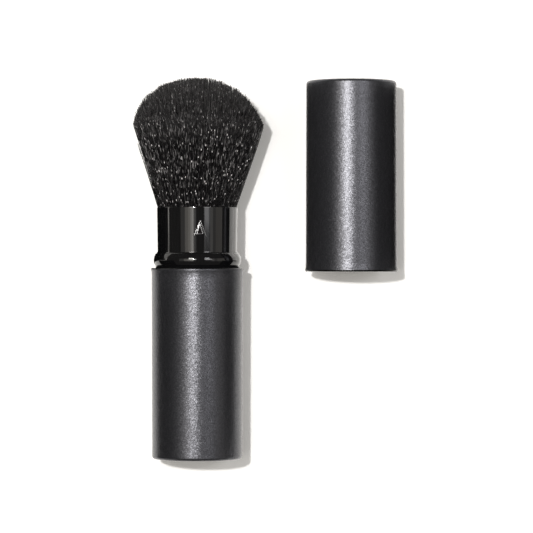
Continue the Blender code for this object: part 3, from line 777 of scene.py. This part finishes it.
def tip_height(share, turn):
    """Height above the rim of the dome over each hair: a full ellipse on the left, flatter on the right."""
    heights = np.linspace(TUFT_WIDEST_HEIGHT, TUFT_HEIGHT, DOME_STEPS)
    dome = TUFT_HEIGHT - TUFT_WIDEST_HEIGHT
    full = TUFT_RADIUS * np.sqrt(1 - ((heights - TUFT_WIDEST_HEIGHT) / dome) ** 2)
    ball = (TUFT_RADIUS ** 2 + dome ** 2) / (2 * dome)
    flat = np.sqrt((ball ** 2 - (heights - TUFT_HEIGHT + ball) ** 2).clip(0))
    cone = tuft_radius(heights)
    over_full, over_flat = [np.interp(share, (edge / cone)[::-1], heights[::-1]) for edge in (full, flat)]
    left = (1 - np.cos(turn)) / 2
    return over_full * left + over_flat * (1 - left)


def tuft_radius(height):
    """Radius of the outermost hairs at a height above the rim: drawn in to the root, then a plain cone."""
    inside = ROOT_RADIUS + (TUFT_RIM_RADIUS - ROOT_RADIUS) * np.clip(1 + height / ROOT_DEPTH, 0, 1)
    outside = TUFT_RIM_RADIUS + (TUFT_RADIUS - TUFT_RIM_RADIUS) * height / TUFT_WIDEST_HEIGHT
    return np.where(height < 0, inside, outside)


def in_tuft(share, turn, height):
    """World points of hairs; below the axis they lie along the table where the cone would reach it."""
    radius = tuft_radius(height)
    below = np.minimum(radius, AXIS_HEIGHT - TUFT_FLOOR_GAP)
    up = np.sin(turn)
    lean = TUFT_LEAN * np.sin(pi * (height / TUFT_HEIGHT).clip(0, 1))
    lean += TUFT_SHIFT * np.clip(1 + height / ROOT_DEPTH, 0, 1)
    x = BRUSH_X + share * radius * np.cos(turn) + lean
    z = AXIS_HEIGHT + share * up * np.where(up > 0, radius, below)
    return np.stack([x, RIM_Y + height, z], axis=-1)


def unit(vectors):
    """The same directions with a length of one."""
    return vectors / np.linalg.norm(vectors, axis=-1, keepdims=True)


def waves(luck, count, stops, most, numbers):
    """Swings along hairs from side to side and up and down, none at the root."""
    number = luck.uniform(*numbers, (count, 1))
    phase = luck.uniform(0, 2 * pi, (count, 1))
    size = luck.uniform(*WAVE_SIZE_SHARES, (count, 1)) * most
    angle = 2 * pi * number * stops
    across = size * (np.sin(angle + phase) - np.sin(phase))
    upright = size * (np.cos(angle * UPRIGHT_WAVE_SHARE + 2 * phase) - np.cos(2 * phase))
    return across, upright


def hair_lines(share, turn, tips, luck):
    """Centre lines of hairs, shape (hairs, stops, 3), swayed and crimped, and their radii."""
    stops = np.append(np.linspace(0, HAIR_LAST_BEND, HAIR_STOPS - 1), 1.0)
    heights = -ROOT_DEPTH + (tips[:, None] + ROOT_DEPTH) * stops
    lines = in_tuft(share[:, None], turn[:, None], heights)
    count = len(share)
    sway = SWAY * stops ** SWAY_GROWTH
    crimp = CRIMP * np.minimum(1, CRIMP_GROWTH * stops)
    for most, numbers in ((sway, SWAY_WAVES), (crimp, CRIMP_WAVES)):
        across, upright = waves(luck, count, stops, most, numbers)
        lines[:, :, 0] += across
        lines[:, :, 2] += upright
    lines[:, :, 2] = np.maximum(lines[:, :, 2], TUFT_FLOOR_GAP)
    taper = np.interp(stops, HAIR_TAPER_PLACES, HAIR_TAPER_SHARES)
    return lines, HAIR_RADIUS * taper * luck.uniform(*HAIR_RADIUS_SHARES, (count, 1))


def hair_mesh(name, lines, radii, luck):
    """Closed three-sided tapered tubes along the lines."""
    hairs, stops, _ = lines.shape
    along = unit(np.gradient(lines, axis=1))
    side = unit(np.cross(along, np.array([0.0, 0.0, 1.0])))
    other = np.cross(along, side)
    roll = luck.uniform(0, 2 * pi, (hairs, 1, 1)) + np.arange(3) * 2 * pi / 3
    reach = radii[:, :, None, None]
    ring = side[:, :, None, :] * np.cos(roll)[..., None] + other[:, :, None, :] * np.sin(roll)[..., None]
    points = (lines[:, :, None, :] + reach * ring).reshape(-1, 3)
    first = (np.arange(hairs * stops).reshape(hairs, stops) * 3)[:, :-1].reshape(-1, 1)
    quads = []
    for corner in range(3):
        after = (corner + 1) % 3
        quads.append(first + np.array([[corner, after, after + 3, corner + 3]]))
    quads = np.concatenate(quads)
    base = (np.arange(hairs) * stops * 3)[:, None]
    roots = base + np.array([[2, 1, 0]])
    tips = base + (stops - 1) * 3 + np.array([[0, 1, 2]])
    mesh = bpy.data.meshes.new(name)
    mesh.from_pydata(points.tolist(), [], quads.tolist() + roots.tolist() + tips.tolist())
    mesh.validate()
    mesh.update()
    mesh.shade_smooth()
    return mesh


def smooth_luck(luck, turn, share):
    """Values that vary smoothly over the tuft's cross-section, so that neighbouring hairs go together."""
    x, y = share * np.cos(turn), share * np.sin(turn)
    total = np.zeros_like(share)
    for _ in range(CLUMP_WAVES):
        angle, phase = luck.uniform(0, 2 * pi, 2)
        number = luck.uniform(*CLUMP_FINENESS)
        total += np.sin(number * (x * np.cos(angle) + y * np.sin(angle)) + phase)
    return total / np.sqrt(CLUMP_WAVES / 2)


def hairs(luck):
    """Share of the radius, turn round the axis and tip height of every hair."""
    outer = int(HAIR_COUNT * OUTER_HAIR_SHARE)
    share = np.concatenate([
        np.sqrt(luck.uniform(0, INNER_AREA_SHARE, HAIR_COUNT - outer)),
        luck.uniform(*OUTER_LAYER, outer),
    ])
    turn = luck.uniform(-pi, pi, HAIR_COUNT)
    tips = tip_height(share, turn) + TIP_CLUMPS * smooth_luck(luck, turn, share)
    tips -= luck.uniform(*TIP_UNEVEN_SHARES, HAIR_COUNT) * TIP_UNEVEN
    proud = luck.uniform(0, 1, HAIR_COUNT) < PROUD_SHARE
    tips += np.where(proud, luck.uniform(0, PROUD_LENGTH, HAIR_COUNT), 0)
    ended = (share > OUTER_LAYER[0]) & (luck.uniform(0, 1, HAIR_COUNT) < ENDED_HAIR_SHARE)
    tips = np.where(ended, tips * luck.uniform(*ENDED_LENGTH_SHARES, HAIR_COUNT), tips)
    share = share + HAIR_CLUMPS * smooth_luck(luck, turn, share)
    stray_share = luck.uniform(1.0, 1 + STRAY_REACH, STRAY_COUNT)
    stray_tips = luck.uniform(*STRAY_LENGTH_SHARES, STRAY_COUNT) * TUFT_WIDEST_HEIGHT
    stray_turn = pi + luck.normal(0, STRAY_SPREAD, STRAY_COUNT)
    share = np.clip(np.concatenate([share, stray_share]), 0, 1 + STRAY_REACH)
    turn = np.concatenate([turn, stray_turn])
    return share, turn, np.minimum(np.concatenate([tips, stray_tips]), TUFT_HEIGHT - TOP_DROP)


def tuft(surface):
    """Hair in sectors round the axis, each sector a piece of its own on the handle."""
    luck = np.random.default_rng(HAIR_SEED)
    share, turn, tips = hairs(luck)
    sector = (turn % (2 * pi) / (2 * pi) * SECTORS).astype(int) % SECTORS
    for index in range(SECTORS):
        chosen = sector == index
        lines, radii = hair_lines(share[chosen], turn[chosen], tips[chosen], luck)
        name = f"hair_{index + 1:02d}"
        piece = added(name, hair_mesh(name, lines, radii, luck), surface)
        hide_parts("bristles")
        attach(piece, "handle")
        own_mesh(piece)


def plain_finishes(moulded):
    """The inner pieces keep their solids and get their own finishes."""
    steel = metal_material("turned_steel", (0.42, 0.43, 0.45), (0.56, 0.57, 0.59), 0.32, 5200)
    aluminium = metal_material("crimped_aluminium", (0.62, 0.62, 0.64), (0.76, 0.76, 0.78), 0.28, 4200)
    finishes = {
        "handle_liner": moulded,
        "brush_post": moulded,
        "stop_collar": moulded,
        "base_weight": steel,
        "post_screw": steel,
        "ferrule": aluminium,
        "neck_o_ring": rubber_material(),
    }
    for node, surface in finishes.items():
        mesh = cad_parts[node].data
        mesh.materials.clear()
        mesh.materials.append(surface)


def floor():
    """A plain white table under the brush."""
    shape = bmesh.new()
    bmesh.ops.create_grid(shape, x_segments=2, y_segments=2, size=FLOOR_HALF_SIZE)
    mesh = bpy.data.meshes.new("floor")
    shape.to_mesh(mesh)
    shape.free()
    added("floor", mesh, floor_material())


def card(name, corner, along, up, surface):
    """A card from a corner, seen only in reflections and only from the side its face turns to."""
    corner, along, up = Vector(corner), Vector(along), Vector(up)
    mesh = bpy.data.meshes.new(name)
    mesh.from_pydata([corner, corner + along, corner + along + up, corner + up], [], [(0, 1, 2, 3)])
    made = added(name, mesh, surface)
    made.visible_camera = False
    made.visible_diffuse = False
    made.visible_transmission = False
    made.visible_shadow = False


def cards():
    """Dark cards that keep the sides of the pieces dark, and a bright one in front of the cap."""
    black = card_material("card_black", CARD_BLACK)
    grey = card_material("card_grey", CARD_GREY)
    bright = card_material("card_bright", CARD_BRIGHT, CARD_BRIGHT_GLOW)
    up = (0, 0, CARD_HEIGHT)
    handle_length = HANDLE_HIGH.y - HANDLE_LOW.y
    handle_left = (HANDLE_CARD_LEFT_X, HANDLE_LOW.y - HANDLE_CARD_PAST_END, 0)
    handle_right = (HANDLE_CARD_RIGHT_X, MOUTH_Y - HANDLE_CARD_MOUTH_GAP, 0)
    card("card_handle_left", handle_left, (0, handle_length + HANDLE_CARD_PAST_END, 0), up, black)
    card("card_handle_right", handle_right, (0, -handle_length, 0), up, black)
    tube_left = (TUBE_CARD_LEFT_X, MOUTH_Y, TUBE_CARD_LEFT_HEIGHT)
    across = (BRUSH_X - TUBE_RIM_RADIUS - TUBE_CARD_LEFT_X, 0, 0)
    card("card_tube_left", tube_left, across, (0, TUBE_CARD_LEFT_LENGTH, 0), black)
    tube_right = (TUBE_CARD_RIGHT_X, TUBE_CARD_RIGHT_FAR_Y, 0)
    back = (0, MOUTH_Y + TUBE_CARD_RIGHT_MOUTH_GAP - TUBE_CARD_RIGHT_FAR_Y, 0)
    card("card_tube_right", tube_right, back, (0, 0, TUBE_CARD_RIGHT_HEIGHT), bright)
    cap_length = CAP_HIGH.y - CAP_LOW.y
    cap_right = (CAP_CARD_RIGHT_X, CAP_HIGH.y, 0)
    card("card_cap_left", (CAP_CARD_LEFT_X, CAP_LOW.y, 0), (0, cap_length, 0), up, grey)
    card("card_cap_right", cap_right, (0, -cap_length, 0), (0, 0, CAP_CARD_RIGHT_HEIGHT), black)


def area_lamp(name, shape, turns, place, size, radiance, colour):
    """An area lamp. It lies aside and along from the brush at a distance, and faces straight back.

    turns is (aside, ahead) in degrees from straight up, place is (along Y, distance).
    """
    data = bpy.data.lights.new(name, "AREA")
    data.shape = shape
    data.size, data.size_y = size
    area = size[0] * size[1] * (pi / 4 if shape == "ELLIPSE" else 1)
    data.energy = radiance * area * LAMP_POWER
    data.color = colour
    obj = bpy.data.objects.new(name, data)
    aside, ahead = turns
    along, distance = place
    turn = Matrix.Rotation(radians(aside), 4, "Y") @ Matrix.Rotation(radians(-ahead), 4, "X")
    away = Matrix.Translation((0, along, distance))
    obj.matrix_world = Matrix.Translation((0, 0, AXIS_HEIGHT)) @ turn @ away
    bpy.context.scene.collection.objects.link(obj)
    return obj


def span(angle, distance):
    """The width that takes up this many degrees at a distance."""
    return 2 * distance * tan(radians(angle) / 2)


def softbox(name, start, end, radiance, low, high, colour):
    """A strip of soft light that runs along the brush."""
    size = (span(end - start, STRIP_DISTANCE), high - low)
    place = ((low + high) / 2, STRIP_DISTANCE)
    return area_lamp(name, "RECTANGLE", ((start + end) / 2, 0), place, size, radiance, colour)


def lights():
    """The key, the streaks, a softbox for each strip, and the boxes ahead, which light nothing matt."""
    key = (0, KEY_DISTANCE)
    key_size = (span(KEY_SIZE, KEY_DISTANCE),) * 2
    area_lamp("key", "ELLIPSE", KEY_TURNS, key, key_size, KEY_RADIANCE, KEY_COLOUR)
    streak = [span(angle, KEY_DISTANCE) for angle in STREAK_SIZE]
    for index, (aside, ahead, radiance) in enumerate(STREAKS):
        area_lamp(f"streak_{index + 1}", "RECTANGLE", (aside, ahead), key, streak, radiance, KEY_COLOUR)
    for index, box in enumerate(STRIPS):
        softbox(f"box_{index + 1}", *box)
    for index, box in enumerate(AHEAD_BOXES):
        softbox(f"box_ahead_{index + 1}", *box).visible_diffuse = False


def room():
    """An even dim room."""
    world = bpy.data.worlds.new("room")
    bpy.context.scene.world = world
    world.use_nodes = True
    world.node_tree.nodes["Background"].inputs["Color"].default_value = (*ROOM_COLOUR, 1)
    world.node_tree.nodes["Background"].inputs["Strength"].default_value = ROOM_LEVEL


def camera():
    """Looks straight down, as the photograph does."""
    data = bpy.data.cameras.new("camera")
    data.lens = LENS_MM
    data.sensor_width = SENSOR_MM
    obj = bpy.data.objects.new("camera", data)
    obj.location = (CAMERA_X, CAMERA_Y, AXIS_HEIGHT + CAMERA_HEIGHT)
    bpy.context.scene.collection.objects.link(obj)
    bpy.context.scene.camera = obj


camera()
floor()
cards()
lights()
room()
satin = satin_material("satin_charcoal", MOUTH_Y, -HANDLE_PAINTED_SHADE_WIDTH)
moulded = moulded_material()
plain_finishes(moulded)
handle_shell(satin)
cap_shell(satin_material("satin_charcoal_cap", CAP_LOW.y, CAP_PAINTED_SHADE_WIDTH))
cap_sleeve(moulded)
neck_ring(neck_material())
guard_tube(gloss_material("gloss_black"))
arrow_mark(mark_material())
tuft(fibre_material())

bpy.context.scene.view_settings.view_transform = "Standard"
